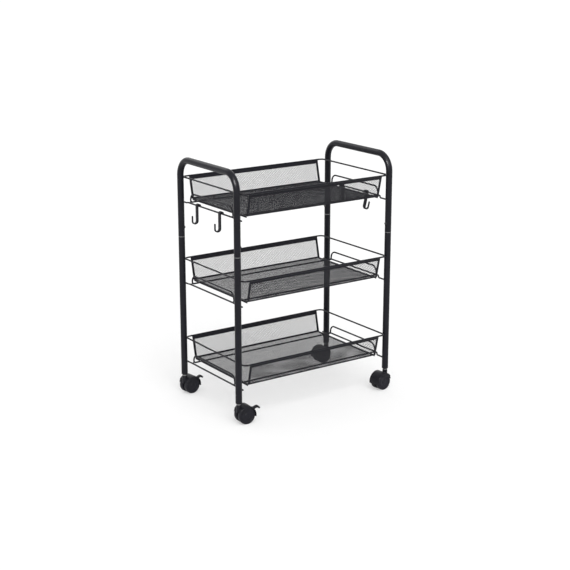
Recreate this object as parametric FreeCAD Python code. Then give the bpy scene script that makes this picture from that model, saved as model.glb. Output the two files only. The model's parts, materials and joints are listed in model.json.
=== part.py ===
"""Rolling utility cart: tube frame, wire and mesh baskets, twin-wheel casters and hooks.

Millimetres. X runs along the length, Y runs to the back, Z is up and the floor is Z = 0.
"""
import FreeCAD, Part
import math
import os

Vec = FreeCAD.Vector

# Clearances
seat_gap = 0.05
stud_gap = 0.1
running_gap = 0.05
hook_gap = 0.3

# Tube frame
post_span_x = 440.0
post_span_y = 250.0
tube_diameter = 16.0
tube_wall = 1.2
seam_z = 405.3
handle_axis_z = 596.3
handle_bend_radius = 41.0

# Couplers inside the tubes at the seam, and their screws
coupler_wall = 2.0
coupler_collar = 1.2
coupler_reach = 34.0
screw_above_seam = 22.0
screw_shank_diameter = 3.8
screw_shank_length = 6.0
screw_head_diameter = 6.8
screw_head_height = 2.2
screw_socket_diameter = 2.4

# Basket levels
bottom_rim_z = 143.8
tier_pitch = 203.0

# Basket wires
wire_diameter = 4.0
stud_diameter = 2.8
stud_reach = 2.0
rim_overhang = 10.0
rim_corner_radius = 12.0
rail_drop = 61.0
rail_tip = 3.0
left_rail_end_length = 11.0
left_rail_crank_length = 14.0
right_rail_end_length = 19.5
right_rail_crank_length = 8.0
rail_crank_out = 4.5
rail_crank_up = 3.6
rail_bend_radius = 6.0
cradle_inset = 3.6
cradle_half_width = 94.0
cradle_foot_radius = 5.0
cradle_leg_length = 0.6
cradle_guard_radius = 16.0
weld_diameter = 3.0

# Basket walls and floors
wall_thickness = 1.2
wall_lean = 12.8
wall_drop = 54.2
wall_top_drop = 0.7
wall_half_length = 192.0
wall_top_strip = 8.2
wall_end_strip = 6.0
wall_bottom_strip = 3.2
wall_net_thickness = 0.8
wall_net_columns = 30
wall_net_rows = 4
wall_net_strand = 1.6
floor_end_step = 1.0
floor_thickness = 1.0
floor_hem = 4.0
floor_net_columns = 14
floor_net_rows = 9
floor_net_strand = 2.4

# Casters
front_left_turn = -3.5
back_left_turn = 7.0
caster_trail = 15.2
wheel_diameter = 42.0
wheel_width = 11.5
wheel_edge_radius = 2.0
wheel_groove_diameter = 31.0
wheel_groove_width = 1.2
wheel_groove_depth = 0.7
wheel_cover = 1.6
axle_diameter = 6.0
axle_end_gap = 0.4
web_width = 5.6
web_gap = 0.5
hub_diameter = 12.0
hood_wheel_gap = 0.8
hood_shell = 1.8
hood_side_gap = 0.6
hood_skirt = 1.2
hood_lip_angle = -11.0
hood_neck_angle = 145.0
skirt_angle = 116.6
skirt_chord = 13.8
neck_diameter = 12.4
neck_bottom_z = 28.0
neck_top_z = 47.85
stem_diameter = 8.0
stem_hood_depth = 7.0
stem_bore_end = 0.5
stem_socket_depth = 26.0
collar_gap = 0.3
collar_diameter = 10.6
collar_height = 2.4
socket_flange = 3.0
socket_length = 26.0
socket_edge_radius = 2.4

# Brake levers
lever_angle = 26.0
lever_rise = 1.0
lever_lug_diameter = 5.0
lever_lug_width = 3.0
lever_barrel_diameter = 4.4
lever_pin_diameter = 2.8
lever_pin_length = 2.6
lever_slot_gap = 0.5
lever_width = 7.0
lever_thickness = 4.4
lever_knee_out = 11.2
lever_knee_up = 3.5
lever_knee_radius = 4.0
lever_tip_out = 18.4
lever_tip_up = -2.4

# Hooks
hook_thickness = 3.0
hook_width = 9.6
hook_prong_width = 3.6
hook_drop = 43.2
hook_mouth = 13.0
hook_tip_rise = 21.0
hook_curl_angle = 215.0
left_front_hook_y = -48.0
left_back_hook_y = 53.0
right_front_hook_y = -43.0
right_back_hook_y = 57.0
right_front_hook_swing = 14.0

# Sizes that follow from the ones above
post_x = post_span_x / 2
post_y = post_span_y / 2
tube_radius = tube_diameter / 2
tube_bore = tube_radius - tube_wall
wire_radius = wire_diameter / 2
collar_bottom_z = neck_top_z + collar_gap
collar_top_z = collar_bottom_z + collar_height
socket_bottom_z = collar_top_z + seat_gap
post_foot_z = socket_bottom_z + socket_flange + seat_gap
post_top_z = seam_z - coupler_collar / 2 - seat_gap
handle_foot_z = seam_z + coupler_collar / 2 + seat_gap
end_wire_x = post_x - tube_radius - wire_radius - seat_gap
rim_half_y = post_y + rim_overhang
rail_run_x = end_wire_x + rail_crank_out
cradle_x = rail_run_x - cradle_inset
wall_slope = math.radians(wall_lean)
wall_top_y = rim_half_y - (wire_radius + seat_gap + wall_thickness / 2) / math.cos(wall_slope)
floor_half_x = wall_half_length - floor_end_step
wall_foot_y = wall_top_y - wall_drop * math.tan(wall_slope)
floor_half_y = wall_foot_y - wall_thickness / 2 / math.cos(wall_slope) - seat_gap
floor_top_drop = wall_drop - floor_thickness
rod_drop = floor_top_drop + floor_thickness + seat_gap + wire_radius
axle_z = wheel_diameter / 2
wheel_inner_face = web_width / 2 + web_gap
wheel_outer_face = wheel_inner_face + wheel_width
hood_inner = wheel_diameter / 2 + hood_wheel_gap
hood_outer = hood_inner + hood_shell
hood_half_width = wheel_outer_face + hood_side_gap + hood_skirt
lever_slot_width = lever_width + 2 * lever_slot_gap
hook_curl_radius = wire_radius + hook_gap + hook_thickness / 2

TIERS = (
    ("bottom", bottom_rim_z),
    ("middle", bottom_rim_z + tier_pitch),
    ("top", bottom_rim_z + 2 * tier_pitch),
)
SIDES = (("left", -1), ("right", 1))
WALLS = (("front", -1), ("back", 1))
POSTS = tuple((wall + "_" + side, sx, sy) for side, sx in SIDES for wall, sy in WALLS)


def save(node, solids):
    """Write one node, made of one solid or of several alike."""
    shape = solids[0] if len(solids) == 1 else Part.makeCompound(solids)
    shape.exportStep("parts/" + node + ".step")


def joined(first, others):
    """One clean solid out of pieces that meet."""
    return first.fuse(others).removeSplitter().Solids[0]


def moved(shape, offset):
    """A copy of the shape at an offset."""
    copy = shape.copy()
    copy.translate(offset)
    return copy


def half_turned(shape):
    """A copy of the shape turned half way round the upright axis."""
    copy = shape.copy()
    copy.rotate(Vec(0, 0, 0), Vec(0, 0, 1), 180)
    return copy


def rod(radius, start, end):
    """Round bar between two points."""
    along = end - start
    return Part.makeCylinder(radius, along.Length, start, along)


def box(low, high):
    """Block between two opposite corners."""
    size = high - low
    return Part.makeBox(size.x, size.y, size.z, low)


def bent_path(points, radii):
    """Straight runs through the points, each inner corner rounded to its radius."""
    edges = []
    start = points[0]
    for before, corner, after, radius in zip(points, points[1:], points[2:], radii):
        towards = (before - corner).normalize()
        onwards = (after - corner).normalize()
        half_angle = towards.getAngle(onwards) / 2
        setback = radius / math.tan(half_angle)
        arc_start = corner + towards * setback
        arc_end = corner + onwards * setback
        middle = (towards + onwards).normalize()
        arc_middle = corner + middle * (radius / math.sin(half_angle) - radius)
        edges.append(Part.LineSegment(start, arc_start).toShape())
        edges.append(Part.Arc(arc_start, arc_middle, arc_end).toShape())
        start = arc_end
    edges.append(Part.LineSegment(start, points[-1]).toShape())
    return Part.Wire(edges)


def bent_bar(points, radii, bar_radius):
    """Round bar along a bent path."""
    ring = Part.Wire(Part.makeCircle(bar_radius, points[0], points[1] - points[0]))
    return bent_path(points, radii).makePipeShell([ring], True, False)


def net_sheet(width, height, border, columns, rows, strand, thickness):
    """Flat sheet in X and Y, centred, with rows of diamond gaps inside a plain border."""
    half_x = width / 2
    half_y = height / 2
    outline = Part.makePolygon([
        Vec(-half_x, -half_y, 0),
        Vec(half_x, -half_y, 0),
        Vec(half_x, half_y, 0),
        Vec(-half_x, half_y, 0),
        Vec(-half_x, -half_y, 0),
    ])
    edge_x = half_x - border
    edge_y = half_y - border
    step_x = edge_x / columns
    step_y = edge_y / rows
    shrink = 1 - strand * math.hypot(step_x, step_y) / (2 * step_x * step_y)
    gap_x = step_x * shrink
    gap_y = step_y * shrink
    gaps = []
    for row in range(2 * rows + 1):
        for column in range(row % 2, 2 * columns + 1, 2):
            x = column * step_x - edge_x
            y = row * step_y - edge_y
            left = Vec(max(x - gap_x, -edge_x), y, 0)
            low = Vec(x, max(y - gap_y, -edge_y), 0)
            right = Vec(min(x + gap_x, edge_x), y, 0)
            high = Vec(x, min(y + gap_y, edge_y), 0)
            corners = [left]
            for corner in (low, right, high):
                if not corner.isEqual(corners[-1], seat_gap):
                    corners.append(corner)
            if corners[-1].isEqual(left, seat_gap):
                corners.pop()
            gaps.append(Part.makePolygon(corners + [left]))
    sheet = Part.Face([outline] + gaps).extrude(Vec(0, 0, thickness))
    sheet.translate(Vec(0, 0, -thickness / 2))
    return sheet


def stud(wire_x, wall_y, z):
    """Short peg from an end wire into the bore of the post beside it."""
    tip_x = math.copysign(post_x - tube_bore + stud_reach, wire_x)
    return rod(stud_diameter / 2, Vec(wire_x, wall_y, z), Vec(tip_x, wall_y, z))


def stud_holes(side, wall, levels):
    """Cutters for the pegs of the named rim heights, in one post."""
    holes = []
    for rim_z in levels:
        for z in (rim_z, rim_z - rail_drop):
            start = Vec(side * end_wire_x, wall * post_y, z)
            end = Vec(side * post_x, wall * post_y, z)
            holes.append(rod(stud_diameter / 2 + stud_gap, start, end))
    return holes


def screw_hole(side, wall):
    """Cutter for a coupler screw, through the inner side of one post."""
    z = seam_z + screw_above_seam
    start = Vec(side * (post_x - tube_radius - 1), wall * post_y, z)
    return rod(screw_shank_diameter / 2 + stud_gap, start, Vec(side * post_x, wall * post_y, z))


def handle_tube(side):
    """Inverted U of round tube, with its peg and screw holes."""
    points = [
        Vec(side * post_x, -post_y, handle_foot_z),
        Vec(side * post_x, -post_y, handle_axis_z),
        Vec(side * post_x, post_y, handle_axis_z),
        Vec(side * post_x, post_y, handle_foot_z),
    ]
    radii = [handle_bend_radius, handle_bend_radius]
    tube = bent_bar(points, radii, tube_radius).cut(bent_bar(points, radii, tube_bore))
    cutters = []
    for name, wall in WALLS:
        cutters.extend(stud_holes(side, wall, [TIERS[2][1]]))
        cutters.append(screw_hole(side, wall))
    return tube.cut(cutters).Solids[0]


def lower_post(side, wall):
    """Straight tube below the seam, with its peg holes."""
    foot = Vec(side * post_x, wall * post_y, post_foot_z)
    top = Vec(side * post_x, wall * post_y, post_top_z)
    tube = rod(tube_radius, foot, top).cut(rod(tube_bore, foot, top))
    return tube.cut(stud_holes(side, wall, [TIERS[0][1], TIERS[1][1]])).Solids[0]


def post_coupler(side, wall):
    """Hollow plug with a collar that shows as the ring at the seam."""
    base = Vec(side * post_x, wall * post_y, seam_z)
    reach = Vec(0, 0, coupler_reach)
    half_collar = Vec(0, 0, coupler_collar / 2)
    plug_radius = tube_bore - seat_gap
    plug = rod(plug_radius, base - reach, base + reach)
    collar = rod(tube_radius, base - half_collar, base + half_collar)
    bore = rod(plug_radius - coupler_wall, base - reach, base + reach)
    return joined(plug, [collar]).cut([bore, screw_hole(side, wall)]).Solids[0]


def coupler_screw(side, wall):
    """Button-head screw on the inner side of a post."""
    inward = Vec(-side, 0, 0)
    face_x = side * (post_x - tube_radius - seat_gap)
    seat = Vec(face_x, wall * post_y, seam_z + screw_above_seam)
    head_radius = screw_head_diameter / 2
    lower = screw_head_height / 2
    head = Part.makeCylinder(head_radius, lower, seat, inward)
    dome = Part.makeCone(head_radius, head_radius * 0.6, lower, seat + inward * lower, inward)
    shank = rod(screw_shank_diameter / 2, seat, seat - inward * screw_shank_length)
    socket = rod(screw_socket_diameter / 2, seat + inward * lower, seat + inward * screw_head_height)
    return joined(head, [dome, shank]).cut(socket).Solids[0]


def stem_socket(side, wall):
    """Plug in the foot of a post, bored for the caster stem."""
    base = Vec(side * post_x, wall * post_y, socket_bottom_z)
    up = Vec(0, 0, 1)
    flange = Part.makeCylinder(tube_radius, socket_flange, base, up)
    middle_z = socket_bottom_z + socket_flange / 2
    foot_edges = [edge for edge in flange.Edges if edge.isClosed() and edge.CenterOfMass.z < middle_z]
    flange = flange.makeFillet(socket_edge_radius, foot_edges)
    plug = Part.makeCylinder(tube_bore - seat_gap, socket_flange + socket_length, base, up)
    bore = Part.makeCylinder(stem_diameter / 2 + seat_gap, socket_flange + socket_length, base, up)
    return joined(flange, [plug]).cut(bore).Solids[0]


def caster_stem(side, wall):
    """Steel pin with a collar, between a post and its caster."""
    base = Vec(side * post_x, wall * post_y, 0)
    bottom = base + Vec(0, 0, neck_top_z - stem_hood_depth)
    top = base + Vec(0, 0, socket_bottom_z + stem_socket_depth)
    collar_low = base + Vec(0, 0, collar_bottom_z)
    collar_high = base + Vec(0, 0, collar_top_z)
    return joined(rod(stem_diameter / 2, bottom, top), [rod(collar_diameter / 2, collar_low, collar_high)])


def rim_loop(rim_z):
    """Closed wire loop round the top of a basket, with pegs for the posts."""
    right = bent_bar(
        [
            Vec(0, -rim_half_y, rim_z),
            Vec(end_wire_x, -rim_half_y, rim_z),
            Vec(end_wire_x, rim_half_y, rim_z),
            Vec(0, rim_half_y, rim_z),
        ],
        [rim_corner_radius, rim_corner_radius],
        wire_radius,
    )
    pegs = []
    for side, sx in SIDES:
        for wall, sy in WALLS:
            pegs.append(stud(sx * end_wire_x, sy * post_y, rim_z))
    return joined(right, [half_turned(right)] + pegs)


def cradle_wire(rim_z):
    """Closed wire under the floor whose two ends turn up into guards."""
    rod_z = rim_z - rod_drop
    guard_z = rod_z + cradle_foot_radius + cradle_leg_length + cradle_guard_radius
    right = bent_bar(
        [
            Vec(0, -cradle_half_width, rod_z),
            Vec(cradle_x, -cradle_half_width, rod_z),
            Vec(cradle_x, -cradle_half_width, guard_z),
            Vec(cradle_x, cradle_half_width, guard_z),
            Vec(cradle_x, cradle_half_width, rod_z),
            Vec(0, cradle_half_width, rod_z),
        ],
        [cradle_foot_radius, cradle_guard_radius, cradle_guard_radius, cradle_foot_radius],
        wire_radius,
    )
    bend_x = cradle_x - cradle_foot_radius
    bend_z = rod_z + cradle_foot_radius
    rail_z = rim_z - rail_drop + rail_crank_up
    welds = []
    for sy in (-1, 1):
        bend = Vec(bend_x, sy * cradle_half_width, bend_z)
        rail = Vec(rail_run_x, sy * cradle_half_width, rail_z)
        outward = (rail - bend).normalize()
        weld_end = rail - outward * (wire_radius + seat_gap)
        welds.append(rod(weld_diameter / 2, bend + outward * cradle_foot_radius, weld_end))
    right = joined(right, welds)
    return joined(right, [half_turned(right)])


def rail(side, rim_z):
    """Lower end wire from post to post, cranked out round the cradle."""
    end_z = rim_z - rail_drop
    run_z = end_z + rail_crank_up
    end_x = side * end_wire_x
    run_x = side * rail_run_x
    tip_y = post_y + rail_tip
    end_length = left_rail_end_length if side < 0 else right_rail_end_length
    crank_length = left_rail_crank_length if side < 0 else right_rail_crank_length
    crank_y = post_y - end_length
    run_y = crank_y - crank_length
    bar = bent_bar(
        [
            Vec(end_x, -tip_y, end_z),
            Vec(end_x, -crank_y, end_z),
            Vec(run_x, -run_y, run_z),
            Vec(run_x, run_y, run_z),
            Vec(end_x, crank_y, end_z),
            Vec(end_x, tip_y, end_z),
        ],
        [rail_bend_radius] * 4,
        wire_radius,
    )
    return joined(bar, [stud(end_x, -post_y, end_z), stud(end_x, post_y, end_z)])


def wall_placed(shape, wall, rim_z):
    """Lean a sheet that hangs below the origin, and set it inside the rim wire."""
    shape.rotate(Vec(0, 0, 0), Vec(1, 0, 0), -wall * wall_lean)
    shape.translate(Vec(0, wall * wall_top_y, rim_z))
    return shape


def wall_frame(wall, rim_z):
    """Flat strip round a wall net."""
    half = wall_thickness / 2
    top = -wall_top_drop
    bottom = -wall_drop / math.cos(wall_slope)
    window_x = wall_half_length - wall_end_strip
    sheet = box(Vec(-wall_half_length, -half, bottom), Vec(wall_half_length, half, top))
    low = Vec(-window_x, -half, bottom + wall_bottom_strip)
    high = Vec(window_x, half, top - wall_top_strip)
    return wall_placed(sheet.cut(box(low, high)), wall, rim_z).Solids[0]


def wall_net(wall, rim_z):
    """Net that fills the window of a wall frame."""
    top = -wall_top_drop - wall_top_strip - seat_gap
    bottom = -wall_drop / math.cos(wall_slope) + wall_bottom_strip + seat_gap
    width = 2 * (wall_half_length - wall_end_strip - seat_gap)
    border = wall_net_strand / 2
    net = net_sheet(
        width, top - bottom, border, wall_net_columns, wall_net_rows, wall_net_strand, wall_net_thickness
    )
    net.rotate(Vec(0, 0, 0), Vec(1, 0, 0), 90)
    net.translate(Vec(0, 0, (top + bottom) / 2))
    return wall_placed(net, wall, rim_z)


def floor_net(rim_z):
    """Floor sheet with a plain hem, lying on the cradle wire."""
    net = net_sheet(
        2 * floor_half_x,
        2 * floor_half_y,
        floor_hem,
        floor_net_columns,
        floor_net_rows,
        floor_net_strand,
        floor_thickness,
    )
    net.translate(Vec(0, 0, rim_z - floor_top_drop - floor_thickness / 2))
    return net


def polar(radius, degrees):
    """Point in the middle plane of a caster, by radius and angle about its axle."""
    angle = math.radians(degrees)
    return Vec(caster_trail + radius * math.cos(angle), 0, axle_z + radius * math.sin(angle))


def slab(edges, width):
    """Flat outline in the middle plane of a caster, thickened evenly to both sides."""
    solid = Part.Face(Part.Wire(edges)).extrude(Vec(0, width, 0))
    solid.translate(Vec(0, -width / 2, 0))
    return solid


def arc(radius, first, last):
    """Arc about the axle of a caster."""
    return Part.Arc(polar(radius, first), polar(radius, (first + last) / 2), polar(radius, last)).toShape()


def line(start, end):
    """Straight edge."""
    return Part.LineSegment(start, end).toShape()


def ring_sector(inner, outer, first, last, width):
    """Part of a ring about the axle of a caster."""
    edges = [
        arc(outer, first, last),
        line(polar(outer, last), polar(inner, last)),
        arc(inner, last, first),
        line(polar(inner, first), polar(outer, first)),
    ]
    return slab(edges, width)


def across(radius, centre, first, last):
    """Round bar parallel to the axle of a caster, between two offsets from its middle plane."""
    return rod(radius, centre + Vec(0, first, 0), centre + Vec(0, last, 0))


def hood_shape(braked):
    """Caster hood: shell over both wheels, web between them, neck and side skirts."""
    shell = ring_sector(hood_inner, hood_outer, hood_lip_angle, hood_neck_angle, 2 * hood_half_width)
    web_outer = hood_inner + hood_shell / 2
    web = slab(
        [
            arc(web_outer, hood_lip_angle, hood_neck_angle),
            line(polar(web_outer, hood_neck_angle), polar(hub_diameter / 2, hood_neck_angle)),
            arc(hub_diameter / 2, hood_neck_angle, hood_lip_angle + 360),
            line(polar(hub_diameter / 2, hood_lip_angle), polar(web_outer, hood_lip_angle)),
        ],
        web_width,
    )
    centre = polar(0, 0)
    neck = rod(neck_diameter / 2, Vec(0, 0, neck_bottom_z), Vec(0, 0, neck_top_z))
    skirt_spread = math.degrees(math.acos(skirt_chord / hood_outer))
    skirt_first = skirt_angle - skirt_spread
    skirt_last = skirt_angle + skirt_spread
    skirt = slab(
        [
            arc(hood_outer, skirt_first, skirt_last),
            line(polar(hood_outer, skirt_last), polar(hood_outer, skirt_first)),
        ],
        hood_skirt,
    )
    room_end = hood_half_width - hood_skirt
    rooms = [
        across(hood_inner, centre, web_width / 2, room_end),
        across(hood_inner, centre, -room_end, -web_width / 2),
    ]
    skirt_offset = Vec(0, hood_half_width - hood_skirt / 2, 0)
    pieces = [shell, web, moved(skirt, skirt_offset), moved(skirt, -skirt_offset)]
    cutters = [
        rod(
            stem_diameter / 2 + running_gap,
            Vec(0, 0, neck_top_z - stem_hood_depth - stem_bore_end),
            Vec(0, 0, neck_top_z),
        ),
        across(axle_diameter / 2 + seat_gap, centre, -web_width, web_width),
    ]
    if braked:
        pivot = polar(hood_outer + lever_rise, lever_angle)
        slot_half = lever_slot_width / 2
        lug_end = slot_half + lever_lug_width
        pieces.append(across(lever_lug_diameter / 2, pivot, -lug_end, lug_end))
        slot_radius = lever_barrel_diameter / 2 + lever_slot_gap
        cutters.append(across(slot_radius, pivot, -slot_half, slot_half))
        slot_spread = math.degrees(slot_radius / hood_outer)
        cutters.append(
            ring_sector(
                hood_inner - lever_slot_gap,
                hood_outer + lever_lug_diameter,
                lever_angle - slot_spread,
                lever_angle + slot_spread,
                lever_slot_width,
            )
        )
        cutters.append(across(lever_pin_diameter / 2 + running_gap, pivot, -lug_end, lug_end))
    return joined(neck.cut(rooms), pieces).cut(cutters).Solids[0]


def axle_shape():
    """Pin through the web of a caster, with a wheel on each end."""
    end = wheel_outer_face - wheel_cover - axle_end_gap
    return across(axle_diameter / 2, polar(0, 0), -end, end)


def wheel_shape(sign):
    """Wheel on one end of the axle, with rounded tread edges and a ring groove in its face."""
    centre = polar(0, 0)
    body = across(wheel_diameter / 2, centre, sign * wheel_inner_face, sign * wheel_outer_face)
    rims = [edge for edge in body.Edges if edge.isClosed()]
    body = body.makeFillet(wheel_edge_radius, rims)
    bore_end = sign * (wheel_outer_face - wheel_cover)
    bore = across(axle_diameter / 2 + running_gap, centre, sign * wheel_inner_face, bore_end)
    groove_floor = sign * (wheel_outer_face - wheel_groove_depth)
    groove_radius = wheel_groove_diameter / 2
    groove = across(groove_radius, centre, groove_floor, sign * wheel_outer_face).cut(
        across(groove_radius - wheel_groove_width, centre, groove_floor, sign * wheel_outer_face)
    )
    return body.cut([bore, groove]).Solids[0]


def lever_shape():
    """Brake lever: bent pedal, barrel in the hood's slot and a pin into each lug."""
    pivot = polar(hood_outer + lever_rise, lever_angle)
    knee = pivot + Vec(lever_knee_out, 0, lever_knee_up)
    tip = pivot + Vec(lever_tip_out, 0, lever_tip_up)
    path = bent_path([pivot, knee, tip], [lever_knee_radius])
    along = (knee - pivot).normalize()
    side = Vec(0, lever_width / 2, 0)
    thick = Vec(-along.z, 0, along.x) * (lever_thickness / 2)
    section = Part.makePolygon([
        pivot - side - thick,
        pivot + side - thick,
        pivot + side + thick,
        pivot - side + thick,
        pivot - side - thick,
    ])
    pedal = path.makePipeShell([section], True, False)
    half = lever_width / 2
    pin_end = half + lever_pin_length
    barrel = across(lever_barrel_diameter / 2, pivot, -half, half)
    return joined(barrel, [pedal, across(lever_pin_diameter / 2, pivot, -pin_end, pin_end)])


def caster_placed(shape, side, wall):
    """Turn a caster piece to its trailing direction and set it under its post."""
    turn = front_left_turn if side == wall else back_left_turn
    if side > 0:
        turn += 180
    copy = shape.copy()
    copy.rotate(Vec(0, 0, 0), Vec(0, 0, 1), turn)
    copy.translate(Vec(side * post_x, wall * post_y, 0))
    return copy


def hook_shape():
    """S-hook of flat bar about a rail at the origin, opening towards +X."""
    curl_end = math.radians(hook_curl_angle)
    curl_top = curl_end / 2
    reach = hook_curl_radius

    def about_rail(radius, angle):
        return Vec(radius * math.cos(angle), 0, radius * math.sin(angle))

    turn = hook_mouth / 2
    low_z = hook_thickness / 2 - hook_drop
    turn_z = low_z + turn
    path = Part.Wire([
        Part.Arc(about_rail(reach, curl_end), about_rail(reach, curl_top), Vec(reach, 0, 0)).toShape(),
        line(Vec(reach, 0, 0), Vec(reach, 0, turn_z)),
        Part.Arc(
            Vec(reach, 0, turn_z),
            Vec(reach + turn, 0, low_z),
            Vec(reach + hook_mouth, 0, turn_z),
        ).toShape(),
        line(Vec(reach + hook_mouth, 0, turn_z), Vec(reach + hook_mouth, 0, hook_tip_rise - hook_drop)),
    ])
    side = Vec(0, hook_width / 2, 0)
    inner = about_rail(reach - hook_thickness / 2, curl_end)
    outer = about_rail(reach + hook_thickness / 2, curl_end)
    section = Part.makePolygon([inner - side, outer - side, outer + side, inner + side, inner - side])
    strip = path.makePipeShell([section], True, False)
    stem_x = reach + hook_thickness / 2
    prong_x = reach + hook_mouth
    taper = Part.makePolygon([
        Vec(-2 * reach, -hook_width, -hook_drop - 1),
        Vec(-2 * reach, hook_width, -hook_drop - 1),
        Vec(stem_x, hook_width / 2, -hook_drop - 1),
        Vec(prong_x, hook_prong_width / 2, -hook_drop - 1),
        Vec(prong_x + hook_thickness, hook_prong_width / 2, -hook_drop - 1),
        Vec(prong_x + hook_thickness, -hook_prong_width / 2, -hook_drop - 1),
        Vec(prong_x, -hook_prong_width / 2, -hook_drop - 1),
        Vec(stem_x, -hook_width / 2, -hook_drop - 1),
        Vec(-2 * reach, -hook_width, -hook_drop - 1),
    ])
    prism = Part.Face(taper).extrude(Vec(0, 0, hook_drop + 4 * reach))
    return strip.common(prism).Solids[0]


def hook_placed(shape, side, y, swing):
    """Hang a hook on a rail of the top basket, opening outwards, its foot swung in by an angle."""
    copy = shape.copy()
    copy.rotate(Vec(0, 0, 0), Vec(0, 1, 0), swing)
    if side < 0:
        copy = half_turned(copy)
    copy.translate(Vec(side * rail_run_x, y, TIERS[2][1] - rail_drop + rail_crank_up))
    return copy


def build():
    """Make every node and write it."""
    os.makedirs("parts", exist_ok=True)
    for side, sx in SIDES:
        save(side + "_handle_tube", [handle_tube(sx)])
    for post, sx, sy in POSTS:
        save(post + "_post", [lower_post(sx, sy)])
    save("post_couplers", [post_coupler(sx, sy) for post, sx, sy in POSTS])
    save("coupler_screws", [coupler_screw(sx, sy) for post, sx, sy in POSTS])
    save("stem_sockets", [stem_socket(sx, sy) for post, sx, sy in POSTS])
    save("caster_stems", [caster_stem(sx, sy) for post, sx, sy in POSTS])
    for tier, rim_z in TIERS:
        save(tier + "_rim_loop", [rim_loop(rim_z)])
        save(tier + "_cradle_wire", [cradle_wire(rim_z)])
        save(tier + "_floor_mesh", [floor_net(rim_z)])
        for side, sx in SIDES:
            save(tier + "_" + side + "_rail", [rail(sx, rim_z)])
        for wall, sy in WALLS:
            save(tier + "_" + wall + "_wall_frame", [wall_frame(sy, rim_z)])
            save(tier + "_" + wall + "_mesh", [wall_net(sy, rim_z)])
    lever = lever_shape()
    for post, sx, sy in POSTS:
        braked = sx < 0
        outer_sign = -sx * sy
        save(post + "_caster_hood", [caster_placed(hood_shape(braked), sx, sy)])
        save(post + "_caster_axle", [caster_placed(axle_shape(), sx, sy)])
        save(post + "_outer_wheel", [caster_placed(wheel_shape(outer_sign), sx, sy)])
        save(post + "_inner_wheel", [caster_placed(wheel_shape(-outer_sign), sx, sy)])
        if braked:
            save(post + "_brake_lever", [caster_placed(lever, sx, sy)])
    hook = hook_shape()
    save("left_front_hook", [hook_placed(hook, -1, left_front_hook_y, 0)])
    save("left_back_hook", [hook_placed(hook, -1, left_back_hook_y, 0)])
    save("right_front_hook", [hook_placed(hook, 1, right_front_hook_y, right_front_hook_swing)])
    save("right_back_hook", [hook_placed(hook, 1, right_back_hook_y, 0)])


build()
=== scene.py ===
"""Looks of a three-tier rolling utility cart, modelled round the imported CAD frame."""

import functools
import json
import logging
import math
from dataclasses import dataclass, replace
from enum import Enum, IntEnum
from typing import Callable, Sequence

import bpy
from mathutils import Matrix, Vector


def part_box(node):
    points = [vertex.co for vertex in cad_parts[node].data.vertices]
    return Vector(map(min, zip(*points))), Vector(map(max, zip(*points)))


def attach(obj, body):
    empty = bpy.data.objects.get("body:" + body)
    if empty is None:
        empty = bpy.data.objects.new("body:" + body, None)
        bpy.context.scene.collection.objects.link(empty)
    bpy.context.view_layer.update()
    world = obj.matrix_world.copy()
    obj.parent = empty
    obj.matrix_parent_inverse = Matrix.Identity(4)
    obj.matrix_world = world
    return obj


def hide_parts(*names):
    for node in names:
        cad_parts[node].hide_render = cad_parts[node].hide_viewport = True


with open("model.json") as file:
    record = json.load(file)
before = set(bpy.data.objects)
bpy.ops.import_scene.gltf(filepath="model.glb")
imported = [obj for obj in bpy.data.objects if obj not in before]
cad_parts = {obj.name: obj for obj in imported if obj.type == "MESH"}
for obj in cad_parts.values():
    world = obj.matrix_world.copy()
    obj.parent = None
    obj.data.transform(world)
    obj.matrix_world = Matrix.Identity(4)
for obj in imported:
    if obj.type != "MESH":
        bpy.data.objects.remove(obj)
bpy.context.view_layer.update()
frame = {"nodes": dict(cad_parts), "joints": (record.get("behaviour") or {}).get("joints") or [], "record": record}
JOINTS = {joint["name"]: joint for joint in frame["joints"]}
CORNERS = ("front_left", "back_left", "front_right", "back_right")
MM = 0.001
# how near two places are the same, and how near two points are merged, in metres
SAME_PLACE = 1e-5
MERGE = 1e-6
# how much of a unit direction counts as along an axis, and how little as across it
ALONG = 0.9
ACROSS = 0.1
log = logging.getLogger("utility_cart")

Piece = bpy.types.Object
Material = bpy.types.Material
Tree = bpy.types.NodeTree
Node = bpy.types.Node
Socket = bpy.types.NodeSocket
Colour = tuple[float, float, float, float]
Place = tuple[float, float, float]
Outline = Sequence[tuple[float, float]]


class Pick(Enum):
    """What a selection in edit mode is made of."""

    POINT = (True, False, False)
    EDGE = (False, True, False)
    FACE = (False, False, True)


class Tier(Enum):
    """The three basket levels."""

    BOTTOM = "bottom"
    MIDDLE = "middle"
    TOP = "top"


class Wall(Enum):
    """The two mesh walls of a basket, by the way they face along Y."""

    FRONT = -1
    BACK = 1


class Sides(IntEnum):
    """How many flat sides make a round form."""

    HEXAGON = 6
    PIN = 24
    BAR = 32
    SCREW = 40
    NECK = 48
    WHEEL = 64
    CHEEK = 90
    SHELL = 96


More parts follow.
